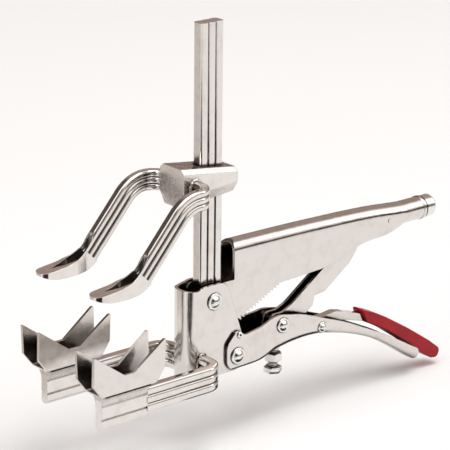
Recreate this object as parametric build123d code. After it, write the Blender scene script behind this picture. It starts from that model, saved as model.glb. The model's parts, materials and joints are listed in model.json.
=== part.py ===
from build123d import *
from math import asin, cos, radians, sin, tan
import os

# Pipe grip pliers with a sliding pair of toes and a lower pair of V-jaws.
#
# Millimetres, +Z up, +X from the pipe towards the handles, the tool symmetric about y = 0.
# The parts are drawn in the rail's frame: x = 0 on the rail's centre line, z = 0 under the
# flattened front ends of the lower bow. They are written with the origin moved to the pipe
# seat, midway between the two V notches at the height of their roots.

# Rail
RAIL_DEPTH = 22.0
RAIL_THICK = 10.5
RAIL_TOP = 285.4
RAIL_FOOT = 45.0
BEADS = 3
BEAD_LAP = 0.5
BEAD_ROUND = 2.4

# Pipe seat and throat
THROAT = 100.0
SEAT_X = -(THROAT + RAIL_DEPTH / 2)
SEAT_Z = 43.0

# Pivots, each a point (x, z)
MAIN_PIVOT = (-2.5, 66.0)
HANDLE_PIVOT = (19.5, 16.5)
STRUT_PIVOT = (69.5, 29.2)
STRUT_END = (147.0, 76.0)
LEVER_PIVOT = (112.0, 17.5)
RAIL_RIVET = (3.0, 51.0)
STUD = (21.5, 33.5)
SPRING_PIN = (186.0, 92.0)
SPRING_PIN_R = 1.6

# Half widths of the nested sheet parts, inside and outside
HANDLE_IN, HANDLE_OUT = 7.4, 9.6
BRACKET_IN, BRACKET_OUT = 9.9, 12.4
LOWER_IN, LOWER_OUT = 12.7, 14.9
LOWER_IN_REAR, LOWER_OUT_REAR = 9.3, 11.5
SHEET = 2.2
BRACKET_SHEET = BRACKET_OUT - BRACKET_IN

# Rivets
PIN_FIT = 0.05
MAIN_PIN = 4.0
HANDLE_PIN = 4.0
STRUT_PIN = 3.5
LEVER_PIN = 2.5
HEAD_R = 6.85
HEAD_H = 4.0

# Lower bow and V-jaws
ARM_Y = 33.75
BOW_THICK = 8.5
BOW_DEPTH = 20.5
BOW_TOP = 24.5
BOW_Z = BOW_TOP - BOW_DEPTH / 2
BOW_BAR_X = -15.0
BOW_BEND = 12.0
BOW_FRONT = -131.8
FLAT_START = -88.0
FLAT_THICK = 7.6
FLAT_CREASE_Z = 8.6
JAW_HALF = 33.5
JAW_TOP = 63.2
JAW_FLOOR = 28.3
JAW_OUT_TOP, JAW_OUT_FLOOR = 12.0, 10.4
JAW_SHEET = 2.5
NOTCH_ROOT_HALF = 4.3

# Sliding block and upper arms
BLOCK_FRONT, BLOCK_REAR = -35.0, 18.0
BLOCK_HALF = 14.5
SLIDE_FIT = 0.35
UPPER_Y = 33.0
UPPER_THICK = 8.0
UPPER_DEPTH = 16.6
UPPER_Z = 159.5
UPPER_BAR_X = -24.0
UPPER_BEND = 12.0
UPPER_DROP_R = 26.0
UPPER_SLOPE = 48.5
TOE_UNDER = 100.5
TOE_TIP = -136.0
TOE_HALF = 7.5

# Pressure screw, M8
SCREW_X = 69.5
SCREW_R = 4.0
SCREW_AF = 13.0
NUT_TOP, NUT_BOTTOM = 3.0, -3.5
SCREW_HEAD_TOP, SCREW_HEAD_BOTTOM = -8.5, -14.0
SCREW_TIP = 16.0

# Round end of the upper handle
TUBE_R = 9.5
TUBE_WALL = 1.8
TUBE_Z = 92.8
TUBE_START, TUBE_END = 204.0, 229.0
COLLAR = 3.0


def side(points, low, high):
    """A plate between y = low and y = high, its outline drawn in x and z as (x, z, radius)."""
    corners = [(p[0], p[1]) for p in points]
    radii = [p[2] if len(p) > 2 else 0 for p in points]
    face = make_face(FilletPolyline(*corners, radius=radii, close=True))
    return Pos(0, high, 0) * extrude(Plane.XZ * face, high - low, dir=(0, -1, 0))


def plan(points, low, high):
    """A block between z = low and z = high, its outline drawn in x and y as (x, y, radius)."""
    corners = [(p[0], p[1]) for p in points]
    radii = [p[2] if len(p) > 2 else 0 for p in points]
    face = make_face(FilletPolyline(*corners, radius=radii, close=True))
    return Pos(0, 0, low) * extrude(face, high - low, dir=(0, 0, 1))


def cross(point, radius, low, high):
    """A round bar along Y between y = low and y = high, its centre at (x, z)."""
    disc = Plane.XZ * Pos(*point) * Circle(radius)
    return Pos(0, high, 0) * extrude(disc, high - low)


def box(x0, x1, y0, y1, z0, z1):
    """A box between two corners."""
    return Pos((x0 + x1) / 2, (y0 + y1) / 2, (z0 + z1) / 2) * Box(x1 - x0, y1 - y0, z1 - z0)


def mirrored(solid):
    """The same solid on the other side of the tool."""
    return mirror(solid, about=Plane.XZ)


def one(shape):
    """The largest solid of a shape, for cuts that may leave crumbs."""
    return max(shape.solids(), key=lambda s: s.volume)


def beaded(depth, thick):
    """Bar section with rounded beads side by side along local y, grooves between them."""
    width = (depth + (BEADS - 1) * BEAD_LAP) / BEADS
    bead = None
    for i in range(BEADS):
        centre = (i - (BEADS - 1) / 2) * (width - BEAD_LAP)
        piece = Pos(0, centre) * RectangleRounded(thick, width, BEAD_ROUND)
        bead = piece if bead is None else bead + piece
    return bead


def straight_bar(section, start, end, thick_dir):
    """The section pushed from start to end, its thickness along thick_dir."""
    start, end = Vector(*start), Vector(*end)
    run = end - start
    plane = Plane(origin=start, x_dir=thick_dir, z_dir=run)
    return extrude(plane * section, run.length)


def bent_bar(section, start, heading, thick_dir, axis_point, axis_dir, angle):
    """The section turned about an axis, for a bend that starts at start."""
    plane = Plane(origin=start, x_dir=thick_dir, z_dir=heading)
    return revolve(plane * section, Axis(axis_point, axis_dir), angle)


def domed_rivet(point, shank_r, half_grip, head_r, head_h):
    """A rivet along Y, each head a flat flange with a dome on it."""
    rim = half_grip + head_h * 0.34
    top = half_grip + head_h
    dome_r = head_r * 0.7
    sphere_r = (dome_r**2 + (top - rim) ** 2) / (2 * (top - rim))
    half_angle = asin(dome_r / sphere_r) / 2
    bulge = (sphere_r * sin(half_angle), top - sphere_r * (1 - cos(half_angle)))
    lip = 0.5
    outline = (
        ThreePointArc((0, -top), (bulge[0], -bulge[1]), (dome_r, -rim))
        + Polyline(
            (dome_r, -rim),
            (head_r - lip, -rim),
            (head_r, -rim + lip),
            (head_r, -half_grip),
            (shank_r, -half_grip),
            (shank_r, half_grip),
            (head_r, half_grip),
            (head_r, rim - lip),
            (head_r - lip, rim),
            (dome_r, rim),
        )
        + ThreePointArc((dome_r, rim), bulge, (0, top))
        + Line((0, top), (0, -top))
    )
    return Pos(point[0], 0, point[1]) * revolve(make_face(outline), Axis.Y, 360)


def rail():
    """Beaded bar, its foot between the handle's ears."""
    bar = Pos(0, 0, RAIL_FOOT) * extrude(Rot(0, 0, 90) * beaded(RAIL_DEPTH, RAIL_THICK), RAIL_TOP - RAIL_FOOT)
    bar -= cross(MAIN_PIVOT, MAIN_PIN, -20, 20)
    bar -= cross(RAIL_RIVET, MAIN_PIN - 1, -20, 20)
    return bar


def between(rows, x):
    """The sizes at x on smooth curves through rows that each begin with their own x."""
    last = len(rows) - 1
    i = max(k for k in range(last) if rows[k][0] <= x + 1e-6)
    start, end = rows[i], rows[i + 1]
    before, after = rows[max(i - 1, 0)], rows[min(i + 2, last)]
    span = end[0] - start[0]
    t = (x - start[0]) / span
    sizes = []
    for k in range(1, len(start)):
        leave = (end[k] - before[k]) / (end[0] - before[0]) * span
        arrive = (after[k] - start[k]) / (after[0] - start[0]) * span
        rise = end[k] - start[k]
        sizes.append(
            start[k] + leave * (t - 2 * t**2 + t**3) + rise * (3 * t**2 - 2 * t**3) + arrive * (t**3 - t**2)
        )
    return sizes


def channel_skin(rows, stations, section):
    """A body lofted through evenly spaced sections, each drawn by section(sizes)."""
    first, last = rows[0][0], rows[-1][0]
    faces = []
    for i in range(stations + 1):
        x = first + (last - first) * i / stations
        plane = Plane(origin=(x, 0, 0), x_dir=(0, 1, 0), z_dir=(1, 0, 0))
        faces.append(plane * make_face(section(between(rows, x))))
    return loft(faces)


def handle_skin(inset):
    """The upper handle's bent sheet as one lofted body, its surface moved in by inset.

    Each row is x, half width, underside, top, crown radius and lower edge radius. The lower
    edges roll in towards the round end.
    """
    rows = [
        (10.0, 9.6, 70.0, 108.7, 9.0, 0.4),
        (72.0, 9.6, 65.4, 108.1, 9.0, 0.4),
        (100.0, 9.6, 66.2, 107.6, 9.0, 0.4),
        (118.0, 9.6, 67.4, 107.1, 9.0, 0.4),
        (130.0, 9.6, 70.3, 106.8, 9.0, 0.9),
        (143.0, 9.6, 73.9, 106.4, 9.0, 2.6),
        (155.0, 9.6, 76.0, 105.9, 9.0, 5.0),
        (171.0, 9.6, 77.0, 105.1, 9.1, 7.4),
        (186.0, 9.6, 77.3, 103.9, 9.2, 8.6),
        (196.0, 9.5, 79.2, 103.0, 9.3, 9.2),
        (206.0, TUBE_R, TUBE_Z - TUBE_R, TUBE_Z + TUBE_R, 9.4, 9.4),
    ]

    def section(sizes):
        half, low, high, crown, roll = sizes
        half, high, crown, roll = half - inset, high - inset, crown - inset, max(roll - inset, 0.4)
        low += inset
        corners = [(-half, low), (half, low), (half, high), (-half, high)]
        return FilletPolyline(*corners, radius=[roll, roll, crown, crown], close=True)

    return channel_skin(rows, 28, section)


def handle_teeth():
    """Saw teeth along the edge from the front ears to the straight run, deepest at the front."""
    first, last = (24.5, 41.6), (69.5, 64.6)
    count = 15
    deepest, shallowest = 4.2, 2.2
    step = ((last[0] - first[0]) / count, (last[1] - first[1]) / count)
    points = []
    for i in range(count):
        x, z = first[0] + step[0] * i, first[1] + step[1] * i
        depth = deepest + (shallowest - deepest) * i / (count - 1)
        points.append((x, z))
        points.append((x + step[0] * 0.3 - depth * 0.45, z + step[1] * 0.3 + depth * 0.9))
    points.append(last)
    return points


def upper_handle():
    """Inverted U of folded sheet: open front arch, ears about the rail, teeth, round end."""
    front = side([(20.0, 50.0), (20.0, 109.2, 7.5), (240.0, 109.2), (240.0, 50.0)], -20, 20)
    outer = handle_skin(0) & front
    tube = Pos(TUBE_START, 0, TUBE_Z) * Rot(0, 90, 0) * Cylinder(
        TUBE_R, TUBE_END - TUBE_START, align=(Align.CENTER, Align.CENTER, Align.MIN)
    )
    collar = Pos(TUBE_END - COLLAR, 0, TUBE_Z) * Rot(0, 90, 0) * Cylinder(
        TUBE_R + 0.5, COLLAR, align=(Align.CENTER, Align.CENTER, Align.MIN)
    )
    collar = fillet(collar.edges(), 0.5)
    ears = side(
        [(-14.5, 78.0, 6), (24.0, 78.0), (72.0, 66.2)] + handle_teeth()[::-1] + [(14.0, 42.0, 3), (-14.5, 54.0, 8)],
        -HANDLE_OUT,
        HANDLE_OUT,
    )
    body = outer + tube + collar + ears
    hollow = handle_skin(SHEET)
    mouth = plan(
        [(-20, -HANDLE_IN), (152, -HANDLE_IN), (178, -4.2), (192, -4.2), (192, 4.2), (178, 4.2), (152, HANDLE_IN),
         (-20, HANDLE_IN)],
        30,
        88,
    )
    gap = box(-20, 12, -HANDLE_IN, HANDLE_IN, 30, 78.5)
    bore = Pos(188, 0, TUBE_Z) * Rot(0, 90, 0) * Cylinder(
        TUBE_R - TUBE_WALL, 60, align=(Align.CENTER, Align.CENTER, Align.MIN)
    )
    body = body - hollow - mouth - gap - bore
    body -= cross(MAIN_PIVOT, MAIN_PIN, -20, 20)
    body -= cross(RAIL_RIVET, MAIN_PIN - 1, -20, 20)
    body -= cross(SPRING_PIN, SPRING_PIN_R, -20, 20)
    return one(body)


def handle_end_plug():
    """Turned plug: a spigot in the tube, a neck, and a knob with a rounded end."""
    spigot = Cylinder(TUBE_R - TUBE_WALL, 12, align=(Align.CENTER, Align.CENTER, Align.MIN))
    neck = Pos(0, 0, 12) * Cylinder(TUBE_R - 1.6, 1.4, align=(Align.CENTER, Align.CENTER, Align.MIN))
    knob = Pos(0, 0, 13.4) * Cylinder(TUBE_R - 0.1, 11.8, align=(Align.CENTER, Align.CENTER, Align.MIN))
    knob = chamfer(knob.faces().sort_by(Axis.Z)[-1].edges(), 3.6, 2.6)
    knob = fillet(knob.edges().filter_by(GeomType.CIRCLE).group_by(Axis.Z)[1:], 1.2)
    return Pos(TUBE_END - 12, 0, TUBE_Z) * Rot(0, 90, 0) * (spigot + neck + knob)


def main_pivot_rivet():
    """Rivet through the bracket, the handle's ears and the rail."""
    return domed_rivet(MAIN_PIVOT, MAIN_PIN, BRACKET_OUT + 0.1, HEAD_R, HEAD_H)


def rail_rivet():
    """Flush rivet that holds the rail's foot between the ears."""
    return cross(RAIL_RIVET, MAIN_PIN - 1, -HANDLE_OUT, HANDLE_OUT)


def spring_pin():
    """Pin across the handle that the tension spring hooks on."""
    return cross(SPRING_PIN, SPRING_PIN_R, -HANDLE_OUT - 0.4, HANDLE_OUT + 0.4)


def opening_spring():
    """Close-wound tension spring along the handle, its rear hook round the pin."""
    coil_r, wire_r, pitch, turns = 3.2, 0.6, 1.5, 10
    start_x, height = 164.0, SPRING_PIN[1]
    helix = Helix(pitch=pitch, height=pitch * turns, radius=coil_r)
    wire = sweep(Plane(origin=helix @ 0, z_dir=helix % 0) * Circle(wire_r), path=helix)
    coil = Pos(start_x, 0, height) * Rot(0, 90, 0) * wire
    hook = Pos(SPRING_PIN[0], 0, height) * Rot(90, 0, 0) * Torus(SPRING_PIN_R + wire_r + 0.1, wire_r)
    tail = straight_bar(
        Circle(wire_r), (start_x + pitch * turns, 0, height - coil_r), (SPRING_PIN[0], 0, height - 2.3), (0, 1, 0)
    )
    return coil + hook + tail


def block_section(x, low, high):
    """Octagon across the sliding block at x."""
    top, base = 3.5, 9.0
    points = [
        (-BLOCK_HALF + top, high),
        (BLOCK_HALF - top, high),
        (BLOCK_HALF, high - top),
        (BLOCK_HALF, low + base),
        (BLOCK_HALF - base * 0.6, low),
        (-BLOCK_HALF + base * 0.6, low),
        (-BLOCK_HALF, low + base),
        (-BLOCK_HALF, high - top),
    ]
    return Plane(origin=(x, 0, 0), x_dir=(0, 1, 0), z_dir=(1, 0, 0)) * make_face(Polyline(*points, close=True))


def slide_block():
    """Tapered octagonal block with the rail's slot and the arms' sockets."""
    block = loft([block_section(BLOCK_FRONT, 147.0, 178.0), block_section(BLOCK_REAR, 151.0, 171.0)], ruled=True)
    half_x, half_y = RAIL_DEPTH / 2 + 0.5 + SLIDE_FIT, RAIL_THICK / 2 + SLIDE_FIT
    block -= box(-half_x, half_x, -half_y, half_y, 130, 200)
    return block


def upper_arm():
    """Near arm: out of the block, round to the front, down the slope and into the toe."""
    section = beaded(UPPER_DEPTH, UPPER_THICK)
    low_r = 16.0
    root_y = -BLOCK_HALF
    bend_y = -UPPER_Y + UPPER_BEND
    front_x = UPPER_BAR_X - UPPER_BEND
    slope = radians(UPPER_SLOPE)
    out = straight_bar(section, (UPPER_BAR_X, root_y, UPPER_Z), (UPPER_BAR_X, bend_y, UPPER_Z), (1, 0, 0))
    turn = bent_bar(
        section, (UPPER_BAR_X, bend_y, UPPER_Z), (0, -1, 0), (1, 0, 0), (front_x, bend_y, UPPER_Z), (0, 0, -1), 90
    )
    drop = bent_bar(
        section,
        (front_x, -UPPER_Y, UPPER_Z),
        (-1, 0, 0),
        (0, 1, 0),
        (front_x, -UPPER_Y, UPPER_Z - UPPER_DROP_R),
        (0, -1, 0),
        UPPER_SLOPE,
    )
    knee_x = front_x - UPPER_DROP_R * sin(slope)
    knee_z = UPPER_Z - UPPER_DROP_R * (1 - cos(slope))
    end_z = TOE_UNDER + UPPER_DEPTH / 2 + low_r * (1 - cos(slope)) - 3.0
    end_x = knee_x - (knee_z - end_z) / tan(slope)
    leg = straight_bar(section, (knee_x, -UPPER_Y, knee_z), (end_x, -UPPER_Y, end_z), (0, 1, 0))
    arm = out + turn + drop + leg + toe(end_x, end_z)
    for cut in toe_cuts():
        arm -= cut
    return one(arm)


def toe(end_x, end_z):
    """Spoon-shaped toe under the leg's end, before its top is cut."""
    slope = radians(UPPER_SLOPE)
    half = UPPER_DEPTH / 2
    inner = (end_x + half * sin(slope), end_z - half * cos(slope))
    outer = (end_x - half * sin(slope), end_z + half * cos(slope))
    waist = UPPER_THICK / 2
    pad = side(
        [
            (inner[0], inner[1]),
            (-93.0, TOE_UNDER - 0.6, 16),
            (-124.0, TOE_UNDER - 0.6, 40),
            (TOE_TIP - 1.5, TOE_UNDER + 3.5, 3),
            (TOE_TIP - 1.5, 112.0),
            (outer[0], outer[1] + 1),
        ],
        -UPPER_Y - TOE_HALF,
        -UPPER_Y + TOE_HALF,
    )
    shape = plan(
        [
            (inner[0] + 3, -UPPER_Y - waist),
            (-93, -UPPER_Y - waist, 20),
            (-107, -UPPER_Y - TOE_HALF, 20),
            (TOE_TIP - 1.0, -UPPER_Y - TOE_HALF, 7.2),
            (TOE_TIP - 1.0, -UPPER_Y + TOE_HALF, 7.2),
            (-107, -UPPER_Y + TOE_HALF, 20),
            (-93, -UPPER_Y + waist, 20),
            (inner[0] + 3, -UPPER_Y + waist),
        ],
        90,
        140,
    )
    return pad & shape


def toe_cuts():
    """What the toe's top loses: all above the rim line, and the pointed pocket."""
    above = side(
        [(-150, 106.2), (-136, 106.4, 8), (-114, 108.8, 30), (-101, 112.0, 20), (-92.5, 118.0, 14), (-84.5, 131.0),
         (-84.5, 150), (-150, 150)],
        -60,
        0,
    )
    outline = plan(
        [(-126, -UPPER_Y, 0.6), (-104, -UPPER_Y - 5.9, 9), (-86.5, -UPPER_Y - 1.8, 1), (-86.5, -UPPER_Y + 1.8, 1),
         (-104, -UPPER_Y + 5.9, 9)],
        90,
        140,
    )
    floor = side([(-128, 106.6), (-106, 104.6, 12), (-91, 104.6, 4), (-85.5, 127.0), (-85.5, 140), (-128, 140)], -60, 0)
    return above, outline & floor


def arm_weld():
    """Weld bead round the near arm where it leaves the block."""
    half_x, half_z = UPPER_THICK / 2, UPPER_DEPTH / 2
    root = Plane(origin=(UPPER_BAR_X, -BLOCK_HALF + 1.5, UPPER_Z), x_dir=(1, 0, 0), z_dir=(0, -1, 0))
    toe_plane = Plane(origin=(UPPER_BAR_X, -BLOCK_HALF - 2.6, UPPER_Z), x_dir=(1, 0, 0), z_dir=(0, -1, 0))
    bead = loft(
        [
            root * RectangleRounded(2 * half_x + 7.5, 2 * half_z + 6.5, 5),
            toe_plane * RectangleRounded(2 * half_x + 0.6, 2 * half_z + 0.6, 2.4),
        ]
    )
    return bead


def jaw_bracket():
    """Folded U with a rounded closed front, round ears at both pivots."""
    outline = [
        (-27.5, 4.0, 3),
        (19.5, 4.0, 10),
        (31.5, 8.0, 9),
        (31.0, 22.0, 8),
        (25.2, 35.0, 30),
        (15.2, 64.0, 10),
        (9.5, 79.3, 9),
        (-9.0, 79.3, 14),
        (-20.0, 77.0, 10),
        (-27.5, 77.6, 0),
    ]
    outer = side(outline, -BRACKET_OUT, BRACKET_OUT)
    outer &= plan(
        [(-27.5, -BRACKET_OUT, 10), (40, -BRACKET_OUT), (40, BRACKET_OUT), (-27.5, BRACKET_OUT, 10)], 0, 100
    )
    inside = -27.5 + BRACKET_SHEET
    outer -= plan(
        [(inside, -BRACKET_IN, 7.5), (50, -BRACKET_IN), (50, BRACKET_IN), (inside, BRACKET_IN, 7.5)], -10, 100
    )
    slot_x, slot_z = BOW_THICK / 2, BOW_DEPTH / 2
    outer -= box(BOW_BAR_X - slot_x, BOW_BAR_X + slot_x, -20, 20, BOW_Z - slot_z - 0.5, BOW_Z + slot_z + 0.5)
    outer -= cross(MAIN_PIVOT, MAIN_PIN + PIN_FIT, -20, 20)
    outer -= cross(HANDLE_PIVOT, HANDLE_PIN, -20, 20)
    return outer


def lower_bow():
    """Beaded bar bent to a U, its closed end through the bracket, its free ends pressed flat."""
    section = beaded(BOW_DEPTH, BOW_THICK)
    bend_y = ARM_Y - BOW_BEND
    front_x = BOW_BAR_X - BOW_BEND
    bow = straight_bar(section, (BOW_BAR_X, bend_y, BOW_Z), (BOW_BAR_X, -bend_y, BOW_Z), (1, 0, 0))
    turn = bent_bar(
        section, (BOW_BAR_X, -bend_y, BOW_Z), (0, -1, 0), (1, 0, 0), (front_x, -bend_y, BOW_Z), (0, 0, -1), 90
    )
    leg = straight_bar(section, (front_x, -ARM_Y, BOW_Z), (FLAT_START - 1, -ARM_Y, BOW_Z), (0, 1, 0))
    flat = box(BOW_FRONT, FLAT_START, -ARM_Y - FLAT_THICK / 2, -ARM_Y + FLAT_THICK / 2, 0, BOW_TOP - 0.4)
    flat = fillet(flat.edges().filter_by(Axis.X).group_by(Axis.Z)[0], 3.2)
    for edge_y in (-ARM_Y - FLAT_THICK / 2, -ARM_Y + FLAT_THICK / 2):
        flat -= Pos(0, edge_y, FLAT_CREASE_Z) * Rot(0, 90, 0) * Cylinder(0.8, 400)
    arm = turn + leg + flat
    return bow + arm + mirrored(arm)


def v_jaw():
    """Near V-jaw: a slightly flared channel with a V notch in both walls."""
    def wall(top, floor, base):
        return [(-floor, base), (floor, base), (top, JAW_TOP + 5), (-top, JAW_TOP + 5)]

    flare = (JAW_OUT_TOP - JAW_OUT_FLOOR) / (JAW_TOP - JAW_FLOOR) * 5
    outer = wall(JAW_OUT_TOP + flare, JAW_OUT_FLOOR, JAW_FLOOR)
    inner = wall(JAW_OUT_TOP + flare - JAW_SHEET, JAW_OUT_FLOOR - JAW_SHEET, JAW_FLOOR + JAW_SHEET)
    plane = Plane(origin=(SEAT_X - 60, -ARM_Y, 0), x_dir=(0, 1, 0), z_dir=(1, 0, 0))
    skin = make_face(FilletPolyline(*outer, radius=[3.5, 3.5, 0, 0], close=True))
    void = make_face(FilletPolyline(*inner, radius=[1.2, 1.2, 0, 0], close=True))
    channel = extrude(plane * (skin - void), 120)
    tip = JAW_HALF - 1.2
    outline = side(
        [
            (SEAT_X - JAW_HALF, 40.6, 2),
            (SEAT_X - JAW_HALF + 9.5, JAW_FLOOR - 0.1, 2),
            (SEAT_X + JAW_HALF - 8.5, JAW_FLOOR - 0.1, 2),
            (SEAT_X + JAW_HALF, 41.5, 2),
            (SEAT_X + JAW_HALF, JAW_TOP),
            (SEAT_X + tip, JAW_TOP),
            (SEAT_X + NOTCH_ROOT_HALF, SEAT_Z),
            (SEAT_X - NOTCH_ROOT_HALF, SEAT_Z),
            (SEAT_X - tip, JAW_TOP),
            (SEAT_X - JAW_HALF, JAW_TOP),
        ],
        -ARM_Y - 30,
        -ARM_Y + 30,
    )
    return channel & outline


def jaw_seat():
    """Weld seat that flares from the bow's flat end up to the V-jaw's floor."""
    foot, head = FLAT_THICK / 2, JAW_OUT_FLOOR - 0.8
    low, top = 18.0, JAW_FLOOR
    flare = make_face(
        [
            Line((-foot, low), (foot, low)),
            RadiusArc((foot, low), (head, top), 11.5),
            Line((head, top), (-head, top)),
            RadiusArc((-head, top), (-foot, low), 11.5),
        ]
    )
    plane = Plane(origin=(BOW_FRONT, -ARM_Y, 0), x_dir=(0, 1, 0), z_dir=(1, 0, 0))
    seat = extrude(plane * flare, FLAT_START - 1.0 - BOW_FRONT)
    seat -= box(BOW_FRONT - 1, FLAT_START + 1, -ARM_Y - foot, -ARM_Y + foot, 0, BOW_TOP - 0.4)
    return one(seat)


def handle_pivot_rivet():
    """Rivet that joins the lower handle to the bracket."""
    return domed_rivet(HANDLE_PIVOT, HANDLE_PIN, LOWER_OUT + 0.1, HEAD_R, HEAD_H)


def lower_outline():
    """Side outline of the lower handle, its underside left to the skin behind the front ears."""
    return [
        (9.0, 27.0, 9),
        (19.5, 38.0, 4),
        (27.5, 31.8, 5),
        (45.0, 34.6, 30),
        (66.0, 38.6, 25),
        (90.0, 33.5, 60),
        (137.0, 16.2, 200),
        (186.0, -6.8, 200),
        (213.0, -22.5, 8),
        (224.0, -28.5, 5),
        (220.5, -38.5, 4),
        (215.0, -50.0),
        (60.0, -50.0),
        (40.0, 3.0, 20),
        (9.0, 5.2, 10),
    ]


def lower_skin(inset):
    """The lower handle's bent sheet as one lofted body, its surface moved in by inset.

    Each row is x, half width, underside and lower edge radius. The body jogs inward behind
    the bracket.
    """
    rows = [
        (0.0, LOWER_OUT, 5.0, 2.4),
        (31.0, LOWER_OUT, 5.3, 2.6),
        (42.0, LOWER_OUT, 5.8, 3.0),
        (47.0, LOWER_OUT - 0.5, 6.1, 3.6),
        (53.0, LOWER_OUT - 1.9, 6.6, 4.4),
        (59.0, LOWER_OUT - 3.1, 7.4, 5.2),
        (66.0, LOWER_OUT_REAR, 8.6, 5.8),
        (77.0, LOWER_OUT_REAR, 10.3, 6.0),
        (90.0, LOWER_OUT_REAR, 11.3, 6.2),
        (100.0, LOWER_OUT_REAR, 11.4, 6.4),
        (112.0, LOWER_OUT_REAR, 10.5, 6.6),
        (123.0, LOWER_OUT_REAR, 8.4, 6.8),
        (135.0, LOWER_OUT_REAR, 5.4, 7.0),
        (147.0, LOWER_OUT_REAR, 1.9, 7.0),
        (160.0, LOWER_OUT_REAR, -2.7, 7.0),
        (172.0, LOWER_OUT_REAR, -7.9, 7.0),
        (185.0, LOWER_OUT_REAR, -15.0, 7.0),
        (197.0, LOWER_OUT_REAR, -22.5, 7.0),
        (211.0, LOWER_OUT_REAR, -31.6, 7.0),
        (230.0, LOWER_OUT_REAR, -44.0, 7.0),
    ]

    def section(sizes):
        half, low, roll = sizes[0] - inset, sizes[1] + inset, sizes[2] - inset
        corners = [(-half, low), (half, low), (half, 60.0), (-half, 60.0)]
        return FilletPolyline(*corners, radius=[roll, roll, 0.1, 0.1], close=True)

    return channel_skin(rows, 46, section)


def lower_handle():
    """U of folded sheet, open upwards, its front ears outside the bracket."""
    body = lower_skin(0) & side(lower_outline(), -20, 20)
    body = body - lower_skin(SHEET)
    body -= box(-5, 37, -LOWER_IN, LOWER_IN, -10, 60)
    body -= cross(HANDLE_PIVOT, HANDLE_PIN + PIN_FIT, -20, 20)
    body -= cross(STRUT_PIVOT, STRUT_PIN, -20, 20)
    body -= cross(LEVER_PIVOT, LEVER_PIN, -20, 20)
    body -= cross(STUD, 1.5, -20, 20)
    body -= Pos(SCREW_X, 0, 0) * Cylinder(5.5, 60)
    return one(body)


def stud_pair():
    """Two small studs, one in each front ear of the lower handle."""
    near = cross(STUD, 1.5, -LOWER_OUT, -LOWER_IN)
    cap = cross(STUD, 2.7, -LOWER_OUT - 1.1, -LOWER_OUT)
    near += chamfer(cap.faces().sort_by(Axis.Y)[0].edges(), 0.5)
    near -= cross(STUD, 1.0, -LOWER_OUT - 2, -LOWER_OUT - 0.2)
    return Compound(children=[near, mirrored(near)])


def strut_rivet():
    """Rivet through the lower handle, the bushes and the strut."""
    return domed_rivet(STRUT_PIVOT, STRUT_PIN, LOWER_OUT_REAR + 0.02, 6.2, 3.6)


def strut_bushes():
    """Two bushes that centre the strut in the lower handle."""
    near = cross(STRUT_PIVOT, 6.0, -LOWER_IN_REAR + PIN_FIT, -5.4) - cross(STRUT_PIVOT, STRUT_PIN, -20, 20)
    return Compound(children=[near, mirrored(near)])


def lever_pin():
    """Rivet that the release lever turns on."""
    return domed_rivet(LEVER_PIVOT, LEVER_PIN, LOWER_OUT_REAR + 0.02, 4.6, 2.8)


def screw_insert():
    """Threaded insert in the lower handle's floor, drawn with a plain bore."""
    insert = Pos(SCREW_X, 0, 6.4) * Cylinder(5.5, 8.0, align=(Align.CENTER, Align.CENTER, Align.MIN))
    collar = Pos(SCREW_X, 0, 12.9) * Cylinder(7.6, 2.0, align=(Align.CENTER, Align.CENTER, Align.MIN))
    bore = Pos(SCREW_X, 0, 0) * Cylinder(SCREW_R + PIN_FIT, 60)
    return insert + collar - bore


def lever_spring():
    """Torsion spring beside the lever on its pin, drawn as close coils with two legs."""
    coils = None
    for i in range(4):
        ring = Pos(LEVER_PIVOT[0], -4.6 - i * 1.0, LEVER_PIVOT[1]) * Rot(90, 0, 0) * Torus(3.25, 0.5)
        coils = ring if coils is None else coils + ring
    core = cross(LEVER_PIVOT, 3.5, -7.6, -4.6) - cross(LEVER_PIVOT, 3.0, -20, 20)
    leg = straight_bar(Circle(0.5), (112.0, -7.6, 14.25), (128.0, -7.6, 12.6), (0, 1, 0))
    return coils + core + leg


def adjusting_screw():
    """M8 hexagon screw, head down."""
    shank = Pos(SCREW_X, 0, SCREW_HEAD_TOP) * Cylinder(
        SCREW_R, SCREW_TIP - SCREW_HEAD_TOP, align=(Align.CENTER, Align.CENTER, Align.MIN)
    )
    shank = chamfer(shank.faces().sort_by(Axis.Z)[-1].edges(), 0.8)
    return shank + hexagon(SCREW_HEAD_BOTTOM, SCREW_HEAD_TOP, False)


def hexagon(low, high, both_ends):
    """Hexagon prism for M8 with its corners turned down at one end or both."""
    prism = Pos(SCREW_X, 0, low) * extrude(RegularPolygon(SCREW_AF / 2, 6, major_radius=False), high - low)
    height = high - low
    flat_r = SCREW_AF / 2 - 0.3
    corner_r = SCREW_AF / 2 / cos(radians(30)) + 0.2
    turn_in = 0.7
    top = [(corner_r, height - turn_in), (flat_r, height)] if both_ends else [(corner_r, height)]
    lathe = make_face(Polyline((0, 0), (flat_r, 0), (corner_r, turn_in), *top, (0, height), close=True))
    turned = Pos(SCREW_X, 0, low) * revolve(Plane.XZ * lathe, Axis.Z, 360)
    return prism & turned


def lock_nut():
    """M8 hexagon nut on the screw."""
    return hexagon(NUT_BOTTOM, NUT_TOP, True) - Pos(SCREW_X, 0, 0) * Cylinder(SCREW_R + PIN_FIT, 60)


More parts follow.
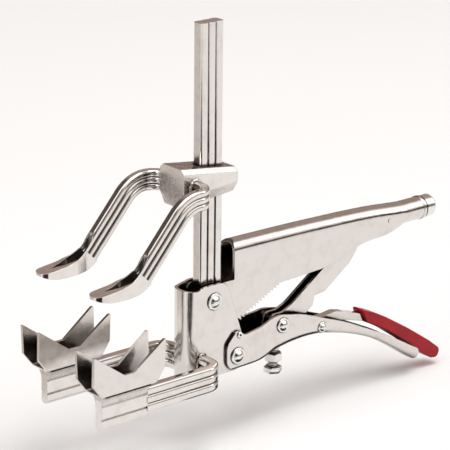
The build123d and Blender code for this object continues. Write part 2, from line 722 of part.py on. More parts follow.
def toggle_strut():
    """Narrow channel from the strut rivet up into the handle."""
    outline = [
        (61.5, 23.5, 5),
        (61.5, 37.2, 6),
        (75.0, 37.2, 10),
        (84.0, 41.0, 20),
        (135.0, 76.4, 20),
        (147.0, 85.0, 5),
        (156.5, 75.5, 5),
        (146.0, 63.0, 12),
        (120.0, 44.9, 1),
        (108.6, 43.4, 1),
        (107.4, 36.0, 1),
        (92.0, 25.4, 12),
        (78.0, 21.2, 10),
    ]
    bar = side(outline, -5.0, 5.0)
    slit = side(
        [(55.0, 27.5), (71.0, 27.5, 3), (90.0, 29.0, 8), (105.0, 40.0, 3), (106.5, 46.0, 3), (119.0, 47.2, 3),
         (143.0, 64.0, 6), (170.0, 90.0), (120.0, 110.0), (55.0, 60.0)],
        -2.9,
        2.9,
    )
    bar = one(bar - slit)
    bar -= cross(STRUT_PIVOT, STRUT_PIN + PIN_FIT, -20, 20)
    bar -= cross(STRUT_END, 2.0, -20, 20)
    return one(bar)


def strut_end_pin():
    """Cross pin at the strut's free end, which the tension spring pulls on."""
    return cross(STRUT_END, 2.0, -6.4, 6.4)


def lever_path():
    """Side outline of the release lever's blade."""
    return [
        (105.0, 13.4, 2),
        (101.8, 17.6, 1.5),
        (106.0, 20.6, 2),
        (112.0, 22.4, 6),
        (122.0, 22.4, 6),
        (134.0, 23.6, 6),
        (143.0, 21.4, 10),
        (164.0, 14.6, 30),
        (187.0, 3.4, 60),
        (226.0, -20.5, 60),
        (249.0, -37.0, 2),
        (246.5, -40.5, 2),
        (228.0, -30.0, 30),
        (187.0, -3.6, 60),
        (164.0, 8.4, 30),
        (142.0, 14.6, 20),
        (118.0, 12.7, 8),
    ]


def release_lever():
    """Pressed blade on the lever pin, its nose under the strut."""
    blade = side(lever_path(), -3.6, 3.6)
    return blade - cross(LEVER_PIVOT, LEVER_PIN + PIN_FIT, -20, 20)


def lever_sleeve():
    """Thick dipped sleeve over the lever's tail, its mouth cut at a slant."""
    outer = side(
        [
            (160.8, 19.6, 1.5),
            (176.0, 13.4, 30),
            (188.0, 7.2, 60),
            (214.0, -8.6, 90),
            (240.0, -26.0, 40),
            (253.6, -36.6, 4.5),
            (250.0, -44.0, 4.5),
            (243.0, -42.8, 5),
            (229.0, -33.8, 30),
            (212.5, -21.4, 60),
            (188.0, -4.4, 90),
            (166.5, 7.2, 2),
        ],
        -7.0,
        7.0,
    )
    long_edges = [e for e in outer.edges() if abs(abs(e.center().Y) - 7.0) < 0.01]
    outer = fillet(long_edges, 1.4)
    return one(outer - side(lever_path(), -3.6, 3.6))


def save(name, shape):
    """One STEP per sub-part, with the origin moved to the pipe seat."""
    export_step(Pos(-SEAT_X, 0, -SEAT_Z) * shape, f"parts/{name}.step")


os.makedirs("parts", exist_ok=True)

near_arm = upper_arm()
near_weld = one(arm_weld() - near_arm - slide_block())

save("rail", rail())
save("upper_handle", upper_handle())
save("handle_end_plug", handle_end_plug())
save("main_pivot_rivet", main_pivot_rivet())
save("rail_rivet", rail_rivet())
save("spring_pin", spring_pin())
save("opening_spring", opening_spring())
save("slide_block", slide_block())
save("upper_arm_right", near_arm)
save("upper_arm_left", mirrored(near_arm))
save("arm_weld_right", near_weld)
save("arm_weld_left", mirrored(near_weld))
save("jaw_bracket", jaw_bracket())
save("lower_bow", lower_bow())
save("v_jaw_right", v_jaw())
save("v_jaw_left", mirrored(v_jaw()))
save("jaw_seat_right", jaw_seat())
save("jaw_seat_left", mirrored(jaw_seat()))
save("handle_pivot_rivet", handle_pivot_rivet())
save("lower_handle", lower_handle())
save("stud_pair", stud_pair())
save("strut_rivet", strut_rivet())
save("strut_bushes", strut_bushes())
save("lever_pin", lever_pin())
save("screw_insert", screw_insert())
save("lever_spring", lever_spring())
save("adjusting_screw", adjusting_screw())
save("lock_nut", lock_nut())
save("toggle_strut", toggle_strut())
save("strut_end_pin", strut_end_pin())
save("release_lever", release_lever())
save("lever_sleeve", lever_sleeve())
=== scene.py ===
import json
import math

import bmesh
import bpy
import mathutils
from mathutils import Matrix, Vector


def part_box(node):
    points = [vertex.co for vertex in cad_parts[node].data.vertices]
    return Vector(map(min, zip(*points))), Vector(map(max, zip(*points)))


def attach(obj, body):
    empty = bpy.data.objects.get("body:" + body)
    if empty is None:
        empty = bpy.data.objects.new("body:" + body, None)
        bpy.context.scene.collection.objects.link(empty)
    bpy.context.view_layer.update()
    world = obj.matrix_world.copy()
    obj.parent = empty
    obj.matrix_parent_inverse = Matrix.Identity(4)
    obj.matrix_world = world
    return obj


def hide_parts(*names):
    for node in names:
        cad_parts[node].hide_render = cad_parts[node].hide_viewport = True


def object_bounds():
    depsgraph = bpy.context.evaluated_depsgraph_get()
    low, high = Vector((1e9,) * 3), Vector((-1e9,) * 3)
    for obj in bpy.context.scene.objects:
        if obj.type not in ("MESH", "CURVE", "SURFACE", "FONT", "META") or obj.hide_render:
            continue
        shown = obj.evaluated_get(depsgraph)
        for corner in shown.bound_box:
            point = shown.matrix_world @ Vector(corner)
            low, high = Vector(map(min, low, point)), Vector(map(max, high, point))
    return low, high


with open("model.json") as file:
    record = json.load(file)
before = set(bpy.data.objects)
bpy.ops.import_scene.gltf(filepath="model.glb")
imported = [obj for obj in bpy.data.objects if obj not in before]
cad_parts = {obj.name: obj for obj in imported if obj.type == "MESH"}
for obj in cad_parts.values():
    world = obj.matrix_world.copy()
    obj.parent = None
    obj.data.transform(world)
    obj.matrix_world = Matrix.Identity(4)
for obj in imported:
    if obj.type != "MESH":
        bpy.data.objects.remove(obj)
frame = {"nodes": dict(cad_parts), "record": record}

bl_info = {
    "name": "Pipe grip pliers",
    "version": (1, 0, 0),
    "blender": (4, 5, 0),
    "location": "View3D > Sidebar > Pliers",
    "description": "Finishes, welds, threads and studio for a pair of pipe grip pliers",
    "category": "Object",
}

CAD_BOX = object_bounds()
SPARE_MATERIAL = "finish:"
MILLIMETRE = 0.001


# ---------------------------------------------------------------- shader expressions


class Wire:
    """A shader output in an expression: arithmetic on it adds Math nodes."""

    def __init__(self, tree, socket):
        self.tree = tree
        self.socket = socket

    def math(self, operation, *terms, clamp=False):
        settings = {"operation": operation, "use_clamp": clamp}
        return self.tree.node("ShaderNodeMath", settings, dict(enumerate(terms)))

    def __add__(self, other):
        return self.math("ADD", self, other)

    def __radd__(self, other):
        return self.math("ADD", other, self)

    def __sub__(self, other):
        return self.math("SUBTRACT", self, other)

    def __rsub__(self, other):
        return self.math("SUBTRACT", other, self)

    def __mul__(self, other):
        return self.math("MULTIPLY", self, other)

    def __rmul__(self, other):
        return self.math("MULTIPLY", other, self)

    def clamped(self):
        return self.math("ADD", self, 0.0, clamp=True)

    def over(self, low, high):
        """0 where this is under low, 1 where it is over high, smooth between."""
        settings = {"interpolation_type": "SMOOTHSTEP"}
        inputs = {"Value": self, "From Min": low, "From Max": high}
        return self.tree.node("ShaderNodeMapRange", settings, inputs)


class Shader:
    """A material's or the world's node tree, with one method that adds any node."""

    def __init__(self, tree):
        self.tree = tree
        tree.nodes.clear()

    def node(self, kind, settings=None, inputs=None, output=0):
        made = self.tree.nodes.new(kind)
        for key, value in (settings or {}).items():
            if key == "stops":
                self.set_stops(made.color_ramp, value)
            else:
                setattr(made, key, value)
        for key, value in (inputs or {}).items():
            socket = made.inputs[key]
            if isinstance(value, Wire):
                self.tree.links.new(value.socket, socket)
            else:
                socket.default_value = value
        if not made.outputs:
            return made
        return Wire(self, made.outputs[output])

    @staticmethod
    def set_stops(ramp, stops):
        while len(ramp.elements) < len(stops):
            ramp.elements.new(1.0)
        for element, (place, colour) in zip(ramp.elements, stops):
            element.position = place
            element.color = colour

    def place(self):
        """Where a point lies in the row frame, in metres."""
        return self.node("ShaderNodeTexCoord", None, None, "Object")

    def part(self, vector, axis):
        return self.node("ShaderNodeSeparateXYZ", None, {0: vector}, axis)

    def noise(self, scale, detail=2.0, roughness=0.5):
        inputs = {
            "Vector": self.place(),
            "Scale": scale,
            "Detail": detail,
            "Roughness": roughness,
        }
        return self.node("ShaderNodeTexNoise", None, inputs, "Fac")

    def mix(self, factor, first, second):
        inputs = {0: factor, 6: first, 7: second}
        return self.node("ShaderNodeMix", {"data_type": "RGBA"}, inputs, 2)

    def dot(self, first, second):
        return self.node(
            "ShaderNodeVectorMath", {"operation": "DOT_PRODUCT"}, {0: first, 1: second}, "Value"
        )

    def edges(self, radius):
        """The rounded normal of sharp edges, and a mask that is 1 along them."""
        soft = self.node("ShaderNodeBevel", {"samples": 4}, {"Radius": radius})
        hard = self.node("ShaderNodeNewGeometry", None, None, "Normal")
        return soft, (1.0 - self.dot(soft, hard)).over(0.0, 0.22)

    def bumped(self, height, normal):
        """A normal that follows a height given in millimetres."""
        inputs = {"Strength": 1.0, "Distance": MILLIMETRE, "Height": height, "Normal": normal}
        return self.node("ShaderNodeBump", None, inputs)

    def hollows(self, reach, low, high):
        """1 deep in grooves and corners, 0 on open faces."""
        open_sky = self.node(
            "ShaderNodeAmbientOcclusion", {"samples": 6}, {"Distance": reach}, "AO"
        )
        return (1.0 - open_sky).over(low, high)

    def finish(self, surface):
        self.node("ShaderNodeOutputMaterial", None, {"Surface": surface})


def painted(name):
    material = bpy.data.materials.get(SPARE_MATERIAL + name)
    if material is None:
        material = bpy.data.materials.new(SPARE_MATERIAL + name)
        material.use_nodes = True
    return material, Shader(material.node_tree)


def rgba(colour):
    return (*colour, 1.0)


# ---------------------------------------------------------------- finishes


# Colour of the painted shade that ambient occlusion lays into grooves and pockets of the steel
HOLLOW_SHADE = (0.055, 0.038, 0.030)
GROOVE_REACH, GROOVE_MASK, GROOVE_DEPTH = 0.003, (0.10, 0.55), 0.95
POCKET_REACH, POCKET_MASK = 0.034, (0.24, 0.78)
STAIN_SHARE, WORN_SHARE = 0.45, 0.5
RIPPLE_SCALE = 260.0


def plated_finish(name, look):
    """Bright plate over steel: warm stains, polishing grain, worn edges, painted shade in hollows.
    """
    material, sh = painted(name)
    soft, edge = sh.edges(look.edge_radius)
    stain = sh.noise(90.0, 5.0, 0.62).over(0.45, 0.75)
    haze = sh.noise(160.0, 3.0, 0.6).over(0.35, 0.75)
    grain = sh.noise(1500.0, 2.0, 0.6)
    pits = sh.noise(2600.0, 1.0).over(0.68, 0.78)
    colour = sh.mix(stain * STAIN_SHARE, rgba(look.colour), rgba(look.stain))
    colour = sh.mix(edge * WORN_SHARE, colour, rgba(look.worn))
    # Painted shade: ambient occlusion darkens grooves and pockets in the base colour
    groove_shade = sh.hollows(GROOVE_REACH, *GROOVE_MASK) * GROOVE_DEPTH
    colour = sh.mix(groove_shade, colour, rgba(HOLLOW_SHADE))
    pocket_shade = sh.hollows(POCKET_REACH, *POCKET_MASK) * look.depth
    colour = sh.mix(pocket_shade, colour, rgba(HOLLOW_SHADE))
    rough = look.roughness + haze * look.haze + pits * 0.12 + edge * 0.05 + (grain - 0.5) * 0.10
    ripple = sh.noise(RIPPLE_SCALE, 2.0) * look.ripple
    height = grain * look.grain + ripple - pits * 0.35 * look.grain
    inputs = {
        "Base Color": colour,
        "Roughness": rough.clamped(),
        "Metallic": 1.0,
        "Normal": sh.bumped(height, soft),
    }
    sh.finish(sh.node("ShaderNodeBsdfPrincipled", None, inputs))
    return material


def vinyl_finish(name, look):
    """Thick dipped coating: satin, a little uneven, darker where it is thin."""
    material, sh = painted(name)
    soft, edge = sh.edges(look.edge_radius * 2.0)
    cloud = sh.noise(60.0, 3.0).over(0.35, 0.7)
    colour = sh.mix(cloud * 0.6, rgba(look.colour), rgba(look.stain))
    colour = sh.mix(edge * 0.35, colour, rgba(look.worn))
    height = sh.noise(220.0, 2.0) * look.ripple + sh.noise(1800.0, 1.0) * look.grain
    haze = sh.noise(240.0, 3.0).over(0.3, 0.8)
    inputs = {
        "Base Color": colour,
        "Roughness": look.roughness + haze * look.haze,
        "Specular IOR Level": 0.22,
        "Coat Weight": 0.06,
        "Normal": sh.bumped(height, soft),
    }
    sh.finish(sh.node("ShaderNodeBsdfPrincipled", None, inputs))
    return material


def length_prop(name, description, low, high, default):
    return bpy.props.FloatProperty(
        name=name, description=description, subtype="DISTANCE", unit="LENGTH",
        min=low, max=high, default=default,
    )


def share_prop(name, description, default):
    return bpy.props.FloatProperty(
        name=name, description=description, subtype="FACTOR", min=0, max=1, default=default
    )


def colour_prop(name, description, default):
    return bpy.props.FloatVectorProperty(
        name=name, description=description, subtype="COLOR", size=3, min=0, max=1, default=default
    )


class Look(bpy.types.PropertyGroup):
    """Colour and surface of one finish."""

    colour: colour_prop("Colour", "Main colour", (0.8, 0.8, 0.8))
    stain: colour_prop("Stain", "Colour of the darker clouds", (0.6, 0.6, 0.6))
    worn: colour_prop("Worn", "Colour along worn edges", (0.9, 0.9, 0.9))
    roughness: share_prop("Roughness", "Roughness of clean areas", 0.2)
    haze: share_prop("Haze", "Extra roughness of hazy areas", 0.08)
    grain: share_prop("Grain", "Height of the fine grain, in millimetres", 0.01)
    ripple: share_prop("Ripple", "Height of the broad waves, in millimetres", 0.05)
    # depth: how strongly painted shade darkens the insides of folds and pockets
    depth: share_prop("Depth", "How dark the insides of folds and pockets are", 0.9)
    edge_radius: length_prop("Edge radius", "How far wear rounds an edge", 0, 0.005, 0.0005)


# depth in each finish sets the strength of its painted shade in hollows
LOOKS = {
    "plated_steel": dict(
        colour=(0.71, 0.675, 0.645), stain=(0.55, 0.49, 0.46), worn=(0.88, 0.86, 0.84), depth=0.95,
        roughness=0.14, haze=0.07, grain=0.004, ripple=0.030, edge_radius=0.0005,
    ),
    "rolled_steel": dict(
        colour=(0.74, 0.71, 0.68), stain=(0.54, 0.48, 0.44), worn=(0.90, 0.88, 0.86), depth=0.35,
        roughness=0.12, haze=0.06, grain=0.004, ripple=0.035, edge_radius=0.0005,
    ),
    "cast_steel": dict(
        colour=(0.76, 0.72, 0.69), stain=(0.62, 0.55, 0.52), worn=(0.90, 0.88, 0.86),
        roughness=0.20, haze=0.10, grain=0.008, ripple=0.035, edge_radius=0.0009,
    ),
    "weld_metal": dict(
        colour=(0.68, 0.64, 0.60), stain=(0.38, 0.32, 0.28), worn=(0.85, 0.83, 0.80),
        roughness=0.26, haze=0.14, grain=0.014, ripple=0.12, edge_radius=0.0008,
    ),
    "fastener_steel": dict(
        colour=(0.80, 0.79, 0.76), stain=(0.62, 0.60, 0.54), worn=(0.93, 0.93, 0.91),
        roughness=0.18, haze=0.08, grain=0.006, ripple=0.02, edge_radius=0.0004,
    ),
    "spring_steel": dict(
        colour=(0.42, 0.40, 0.38), stain=(0.24, 0.21, 0.19), worn=(0.66, 0.65, 0.63),
        roughness=0.30, haze=0.10, grain=0.006, ripple=0.01, edge_radius=0.0002,
    ),
    "red_vinyl": dict(
        colour=(0.38, 0.003, 0.011), stain=(0.25, 0.002, 0.007), worn=(0.52, 0.018, 0.024),
        roughness=0.30, haze=0.12, grain=0.004, ripple=0.10, edge_radius=0.0008,
    ),
}


class PlierSettings(bpy.types.PropertyGroup):
    """Sizes and colours of the pliers' Blender pieces and of the studio."""

    weld_bead: length_prop("Weld bead", "Radius of a weld bead", 0.0005, 0.006, 0.0023)
    bow_thick: length_prop("Bow thickness", "Thickness of the bow's bar", 0.002, 0.02, 0.0085)
    bow_depth: length_prop("Bow depth", "Depth of the bow's bar", 0.005, 0.05, 0.0205)
    head_height: length_prop(
        "Screw head", "Height of the pressure screw's head", 0.002, 0.012, 0.0055
    )
    screw_radius: length_prop(
        "Screw radius", "Radius over the thread's crests", 0.001, 0.01, 0.004
    )
    screw_pitch: length_prop(
        "Thread pitch", "Rise of the thread in one turn", 0.0005, 0.003, 0.00125
    )
    floor_colour: colour_prop("Floor", "Colour of the floor", (0.86, 0.86, 0.86))
    floor_half: length_prop("Floor half width", "Half the floor's width", 1, 50, 12.0)
    floor_gap: length_prop(
        "Floor gap", "Room under the lowest piece, for the release lever's swing", 0, 0.1, 0.0065
    )
    lens: bpy.props.FloatProperty(
        name="Lens", description="Focal length of the camera, in millimetres",
        min=20, max=400, default=199.6,
    )
    camera_place: bpy.props.FloatVectorProperty(
        name="Camera", description="Where the camera stands", subtype="TRANSLATION",
        unit="LENGTH", size=3, default=(-1.0577, -1.3942, 0.6852),
    )
    camera_turn: bpy.props.FloatVectorProperty(
        name="Camera turn", description="Heading, pitch and roll, in degrees", size=3,
        default=(40.4009, 18.3562, 0.5623),
    )


# ---------------------------------------------------------------- stage


class PLIERS_OT_stage(bpy.types.Operator):
    """Lay the pale floor, hang the soft lights and set the camera"""

    bl_idname = "pliers.stage"
    bl_label = "Stage"
    # Name, place, size and power in watts of each lamp, all aimed at the bracket
    aim = (0.1, 0, 0.05)
    softboxes = (
        ("top softbox", (0.35, -0.45, 2.3), (1.5, 0.7), 17.0),
        ("left softbox", (-2.2, -0.5, 1.5), (0.5, 1.1), 8.0),
        ("right softbox", (2.2, -1.3, 1.2), (0.35, 1.2), 5.0),
    )
    # Name, two corners and shade of each card on the floor
    cards = (
        ("card_under", (0.10, -0.072), (0.27, 0.012), 0.02),
        ("card_left", (-1.40, 0.12), (-0.10, 1.40), 0.66),
        ("card_front", (-0.80, -0.80), (-0.06, -0.10), 0.02),
    )
    card_lift = 0.001
    # The studio's wall from straight down (0) to straight up (1), dark at the horizon
    wall = (
        (0.0, (0.6, 0.6, 0.6)),
        (0.49, (0.30, 0.28, 0.27)),
        (0.52, (0.012, 0.009, 0.008)),
        (0.60, (0.040, 0.030, 0.026)),
        (0.66, (0.52, 0.45, 0.42)),
        (0.72, (0.75, 0.70, 0.67)),
        (0.80, (1.0, 0.99, 0.98)),
        (1.0, (1.0, 1.0, 1.0)),
    )
    backdrop = (0.97, 0.97, 0.97)
    wall_boost = 0.56
    # Direction, where the flag's soft rim begins, where it is full, and its tone
    flags = (
        ((0.615, 0.53, 0.58), 0.72, 0.88, (0.26, 0.20, 0.175)),
        ((-0.35, 0.72, 0.59), 0.82, 0.93, (0.07, 0.055, 0.048)),
        ((-0.56, -0.70, 0.44), 0.86, 0.96, (0.012, 0.010, 0.009)),
    )

    def execute(self, context):
        settings = context.scene.pliers
        self.floor(settings)
        self.lay_cards(settings)
        self.lights()
        self.world(context.scene)
        self.camera(context.scene, settings)
        return {"FINISHED"}

    def floor(self, settings):
        height = CAD_BOX[0][2] - settings.floor_gap
        bpy.ops.mesh.primitive_plane_add(size=2 * settings.floor_half, location=(0, 0, height))
        floor = bpy.context.object
        floor.name = "floor"
        bpy.ops.object.transform_apply(location=True)
        material, sh = painted("floor")
        cloud = sh.noise(3.0, 2.0).over(0.3, 0.7) * 0.3
        pale = settings.floor_colour
        inputs = {
            "Base Color": sh.mix(cloud, rgba(pale), rgba([c * 0.985 for c in pale])),
            "Roughness": 1.0,
            "Specular IOR Level": 0.0,
        }
        sh.finish(sh.node("ShaderNodeBsdfPrincipled", None, inputs))
        floor.data.materials.append(material)

    def lay_cards(self, settings):
        """Cards on the floor that only show as reflections in the steel."""
        height = CAD_BOX[0][2] - settings.floor_gap + self.card_lift
        for name, low, high, shade in self.cards:
            middle = [(a + b) / 2 for a, b in zip(low, high)]
            bpy.ops.mesh.primitive_plane_add(size=1, location=(*middle, height))
            card = bpy.context.object
            card.name = name
            card.scale = (high[0] - low[0], high[1] - low[1], 1)
            bpy.ops.object.transform_apply(location=True, scale=True)
            material, sh = painted(name)
            warm = rgba((shade * 1.08, shade, shade * 0.94))
            sh.finish(sh.node("ShaderNodeEmission", None, {"Color": warm, "Strength": 1.0}))
            card.data.materials.append(material)
            card.visible_camera = False
            card.visible_diffuse = False
            card.visible_shadow = False
            card.visible_transmission = False

    def lights(self):
        for name, place, size, power in self.softboxes:
            lamp = bpy.data.lights.new(name, "AREA")
            lamp.shape = "RECTANGLE"
            lamp.size, lamp.size_y = size
            lamp.energy = power
            holder = bpy.data.objects.new(name, lamp)
            holder.location = place
            way = mathutils.Vector(self.aim) - mathutils.Vector(place)
            holder.rotation_euler = way.to_track_quat("-Z", "Y").to_euler()
            bpy.context.scene.collection.objects.link(holder)

    def world(self, scene):
        world = bpy.data.worlds.new("studio")
        world.use_nodes = True
        scene.world = world
        sh = Shader(world.node_tree)
        heading = sh.node("ShaderNodeTexCoord", None, None, "Generated")
        height = sh.part(heading, "Z")
        stops = [(place, rgba(tone)) for place, tone in self.wall]
        shade = sh.node("ShaderNodeValToRGB", {"stops": stops}, {0: height * 0.5 + 0.5})
        for way, rim, core, tone in self.flags:
            share = sh.dot(heading, way).over(rim, core) * height.over(0.0, 0.28)
            shade = sh.mix(share, shade, rgba(tone))
        seen = sh.node("ShaderNodeLightPath", None, None, "Is Camera Ray")
        inputs = {
            "Color": sh.mix(seen, shade, rgba(self.backdrop)),
            "Strength": 1.0 + (1.0 - seen) * self.wall_boost,
        }
        background = sh.node("ShaderNodeBackground", None, inputs)
        sh.node("ShaderNodeOutputWorld", None, {"Surface": background})

    def camera(self, scene, settings):
        heading, pitch, roll = (math.radians(a) for a in settings.camera_turn)
        level = math.cos(pitch)
        back = mathutils.Vector(
            (-math.sin(heading) * level, -math.cos(heading) * level, math.sin(pitch))
        )
        right = (-back).cross(mathutils.Vector((0, 0, 1))).normalized()
        up = right.cross(-back)
        turned_right = math.cos(roll) * right + math.sin(roll) * up
        turned_up = math.cos(roll) * up - math.sin(roll) * right
        lens = bpy.data.cameras.new("camera")
        lens.lens = settings.lens
        lens.sensor_width = 36.0
        lens.clip_start, lens.clip_end = 0.05, 60.0
        holder = bpy.data.objects.new("camera", lens)
        turn = mathutils.Matrix((turned_right, turned_up, back)).transposed().to_4x4()
        holder.matrix_world = mathutils.Matrix.Translation(settings.camera_place) @ turn
        scene.collection.objects.link(holder)
        scene.camera = holder
        scene.view_settings.view_transform = "Standard"


# ---------------------------------------------------------------- finishes on the frame's nodes


class PLIERS_OT_finishes(bpy.types.Operator):
    """Give every steel and vinyl node its finish"""

    bl_idname = "pliers.finishes"
    bl_label = "Finishes"

    def execute(self, context):
        made = {}
        for slot in LOOKS:
            look = context.scene.pliers_looks[slot]
            if slot == "red_vinyl":
                made[slot] = vinyl_finish(slot, look)
            else:
                made[slot] = plated_finish(slot, look)
        slots = {row["node"]: row["material_slot"] for row in frame["record"]["subparts"]}
        for node, piece in frame["nodes"].items():
            for place in piece.material_slots:
                place.material = made[slots[node]]
        return {"FINISHED"}


# ---------------------------------------------------------------- modelling by hand


def clear_choice():
    bpy.ops.object.select_all(action="DESELECT")


def choose(piece, test, kind="verts"):
    """Selects the vertices, edges or faces of a piece in edit mode that pass a test."""
    mesh = bmesh.from_edit_mesh(piece.data)
    bpy.ops.mesh.select_all(action="DESELECT")
    for item in getattr(mesh, kind):
        item.select_set(bool(test(item)))
    bmesh.update_edit_mesh(piece.data)


def apply_all(piece):
    for modifier in list(piece.modifiers):
        bpy.ops.object.modifier_apply(modifier=modifier.name)


def settle(piece, name, body, slot):
    """Closes up a new piece, turns its faces outward and puts it on its body."""
    piece.name = name
    piece.data.name = name
    bpy.ops.object.mode_set(mode="EDIT")
    bpy.ops.mesh.select_all(action="SELECT")
    bpy.ops.mesh.remove_doubles(threshold=0.00002)
    bpy.ops.mesh.normals_make_consistent(inside=False)
    bpy.ops.object.mode_set(mode="OBJECT")
    bpy.ops.object.transform_apply(location=True, rotation=True, scale=True)
    bpy.ops.object.shade_smooth_by_angle(angle=math.radians(40))
    piece.data.materials.clear()
    piece.data.materials.append(bpy.data.materials[SPARE_MATERIAL + slot])
    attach(piece, body)
    clear_choice()
    return piece


RING_SEGMENTS, RING_SIDES = 84, 12
RIPPLE_LENGTH = 6
RIPPLE_CREST = (0, 1, 2)
RIPPLE_TROUGH = (4,)


def ripple(ring, phases, push):
    """Pushes the ring's cross sections that fall on some phases of a ripple out or in."""
    choose(ring, lambda v: (v.index // RING_SIDES) % RIPPLE_LENGTH in phases)
    bpy.ops.transform.shrink_fatten(value=push)


def weld_ring(centre, half_x, half_z, bead, seed):
    """A closed weld bead round a bar that stands along Y: ripples pushed up, then lumps."""
    clear_choice()
    bpy.ops.mesh.primitive_torus_add(
        location=centre, rotation=(math.radians(90), 0, 0), major_radius=half_z,
        minor_radius=bead, major_segments=RING_SEGMENTS, minor_segments=RING_SIDES,
    )
    ring = bpy.context.object
    bpy.ops.object.transform_apply(location=False, rotation=True, scale=False)
    bpy.ops.object.mode_set(mode="EDIT")
    ripple(ring, RIPPLE_CREST, bead * 0.13)
    ripple(ring, RIPPLE_TROUGH, -bead * 0.12)
    choose(ring, lambda v: True)
    bpy.ops.transform.resize(value=(half_x / half_z, 0.8, 1.0), center_override=centre)
    bpy.ops.object.mode_set(mode="OBJECT")
    smooth = ring.modifiers.new("round", "SUBSURF")
    smooth.levels = smooth.render_levels = 1
    cloud = bpy.data.textures.new("weld lumps %d" % seed, "CLOUDS")
    cloud.noise_scale = bead * 1.6 + seed * 0.0001
    lumps = ring.modifiers.new("lumps", "DISPLACE")
    lumps.texture = cloud
    lumps.strength = bead * 0.55
    lumps.texture_coords = "LOCAL"
    apply_all(ring)
    return ring


class PLIERS_OT_arm_welds(bpy.types.Operator):
    """Run a lumpy weld bead round each upper arm where it leaves the block"""

    bl_idname = "pliers.arm_welds"
    bl_label = "Arm welds"

    def execute(self, context):
        sizes = context.scene.pliers
        for side, face in (("right", 1), ("left", -1)):
            node = "arm_weld_" + side
            low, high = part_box(node)
            centre = (low + high) / 2
            block_low, block_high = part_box("slide_block")
            centre.y = block_low.y if face > 0 else block_high.y
            half_x = (high.x - low.x) / 2 - sizes.weld_bead
            half_z = (high.z - low.z) / 2 - sizes.weld_bead
            ring = weld_ring(centre, half_x, half_z, sizes.weld_bead, face + 2)
            settle(ring, "weld_bead_arm_" + side, "slider", "weld_metal")
            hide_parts(node)
        return {"FINISHED"}


class PLIERS_OT_bow_welds(bpy.types.Operator):
    """Run a weld bead round the bow where it passes each wall of the bracket"""

    bl_idname = "pliers.bow_welds"
    bl_label = "Bow welds"

    def execute(self, context):
        sizes = context.scene.pliers
        bow_low, bow_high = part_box("lower_bow")
        low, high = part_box("jaw_bracket")
        bar_x = bow_high.x - sizes.bow_thick / 2
        bar_z = bow_high.z - sizes.bow_depth / 2
        for side, wall in (("right", low.y), ("left", high.y)):
            centre = mathutils.Vector((bar_x, wall, bar_z))
            half_x, half_z = sizes.bow_thick / 2 + 0.0006, sizes.bow_depth / 2 + 0.0002
            ring = weld_ring(centre, half_x, half_z, sizes.weld_bead * 0.62, 5)
            settle(ring, "weld_bead_bow_" + side, "jaw", "weld_metal")
        return {"FINISHED"}


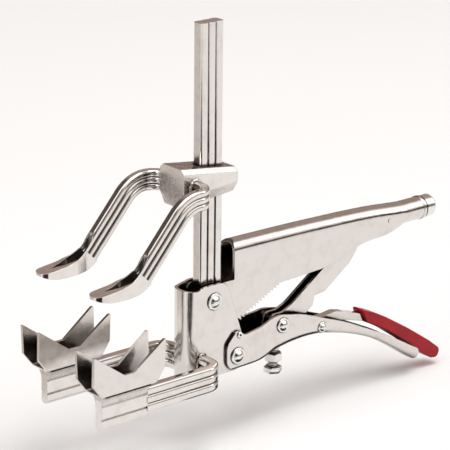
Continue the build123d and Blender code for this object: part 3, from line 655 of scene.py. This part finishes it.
class PLIERS_OT_screw(bpy.types.Operator):
    """Cut the pressure screw: a chamfered hexagon head and a rolled thread"""

    bl_idname = "pliers.screw"
    bl_label = "Pressure screw"

    def execute(self, context):
        sizes = context.scene.pliers
        low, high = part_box("adjusting_screw")
        middle = (low + high) / 2
        head_top = low.z + sizes.head_height
        head = self.head(middle, low.z, head_top, (high.y - low.y) / 2)
        thread = self.thread(middle, head_top - 0.0006, high.z, sizes)
        clear_choice()
        thread.select_set(True)
        head.select_set(True)
        bpy.context.view_layer.objects.active = head
        bpy.ops.object.join()
        settle(head, "pressure_screw_threaded", "pressure_screw", "fastener_steel")
        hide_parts("adjusting_screw")
        return {"FINISHED"}

    def head(self, middle, low, high, half_flats):
        """A hexagon prism with both faces inset, and its corners turned off."""
        clear_choice()
        bpy.ops.mesh.primitive_cylinder_add(
            vertices=6, radius=half_flats / math.cos(math.radians(30)), depth=high - low,
            location=(middle.x, middle.y, (low + high) / 2),
        )
        head = bpy.context.object
        bpy.ops.object.mode_set(mode="EDIT")
        choose(head, lambda f: abs(f.normal.z) > 0.9, "faces")
        bpy.ops.mesh.inset(thickness=half_flats * 0.20)
        half_depth = (high - low) / 2
        choose(
            head,
            lambda v: abs(abs(v.co.z) - half_depth) < 1e-5
            and math.hypot(v.co.x, v.co.y) > half_flats,
        )
        centre = (middle.x, middle.y, (low + high) / 2)
        bpy.ops.transform.resize(value=(1.0, 1.0, 0.78), center_override=centre)
        choose(head, lambda e: True, "edges")
        bpy.ops.mesh.bevel(offset=half_flats * 0.045, segments=2, affect="EDGES")
        bpy.ops.object.mode_set(mode="OBJECT")
        return head

    def thread(self, middle, low, high, sizes):
        """One pitch of thread profile, wound up by a screw modifier and closed at both ends."""
        pitch, crest = sizes.screw_pitch, sizes.screw_radius
        root = crest - 0.61 * pitch
        turns = int((high - low) / pitch) - 1
        clear_choice()
        bpy.ops.mesh.primitive_plane_add(
            size=pitch, location=(0, 0, 0), rotation=(math.radians(90), 0, 0)
        )
        coil = bpy.context.object
        bpy.ops.object.transform_apply(location=False, rotation=True, scale=False)
        bpy.ops.object.mode_set(mode="EDIT")
        choose(coil, lambda v: v.co.x > 0)
        bpy.ops.mesh.delete(type="VERT")
        choose(coil, lambda e: True, "edges")
        bpy.ops.mesh.subdivide(number_cuts=3)
        choose(coil, lambda v: abs(v.co.z) < pitch * 0.30)
        bpy.ops.transform.translate(value=(crest - root, 0, 0))
        choose(coil, lambda v: True)
        bpy.ops.transform.translate(value=(root + pitch / 2, 0, 0))
        bpy.ops.object.mode_set(mode="OBJECT")
        winding = coil.modifiers.new("thread", "SCREW")
        winding.angle = math.radians(360)
        winding.screw_offset = pitch
        winding.iterations = turns
        winding.steps = winding.render_steps = 28
        winding.use_merge_vertices = True
        apply_all(coil)
        bpy.ops.object.mode_set(mode="EDIT")
        bpy.ops.mesh.select_all(action="SELECT")
        bpy.ops.mesh.remove_doubles(threshold=0.00001)
        bpy.ops.mesh.select_all(action="DESELECT")
        bpy.ops.mesh.select_non_manifold()
        bpy.ops.mesh.fill_holes(sides=0)
        bpy.ops.object.mode_set(mode="OBJECT")
        coil.location = (middle.x, middle.y, low + pitch / 2)
        bpy.ops.object.transform_apply(location=True)
        return coil


class PLIERS_PT_panel(bpy.types.Panel):
    """Pieces of the pliers, in the order they are made"""

    bl_idname = "PLIERS_PT_panel"
    bl_label = "Pipe grip pliers"
    bl_space_type = "VIEW_3D"
    bl_region_type = "UI"
    bl_category = "Pliers"

    def draw(self, context):
        for step in STEPS:
            self.layout.operator(step.bl_idname)


STEPS = (
    PLIERS_OT_stage,
    PLIERS_OT_finishes,
    PLIERS_OT_arm_welds,
    PLIERS_OT_bow_welds,
    PLIERS_OT_screw,
)
CLASSES = (Look, PlierSettings, *STEPS, PLIERS_PT_panel)


def register():
    for item in CLASSES:
        bpy.utils.register_class(item)
    bpy.types.Scene.pliers = bpy.props.PointerProperty(type=PlierSettings)
    bpy.types.Scene.pliers_looks = bpy.props.CollectionProperty(type=Look)


def unregister():
    del bpy.types.Scene.pliers_looks
    del bpy.types.Scene.pliers
    for item in reversed(CLASSES):
        bpy.utils.unregister_class(item)


def main():
    register()
    for slot, values in LOOKS.items():
        look = bpy.context.scene.pliers_looks.add()
        look.name = slot
        for key, value in values.items():
            setattr(look, key, value)
    bpy.ops.object.select_all(action="DESELECT")
    for step in STEPS:
        group, action = step.bl_idname.split(".")
        getattr(getattr(bpy.ops, group), action)()


if __name__ == "__main__":
    main()
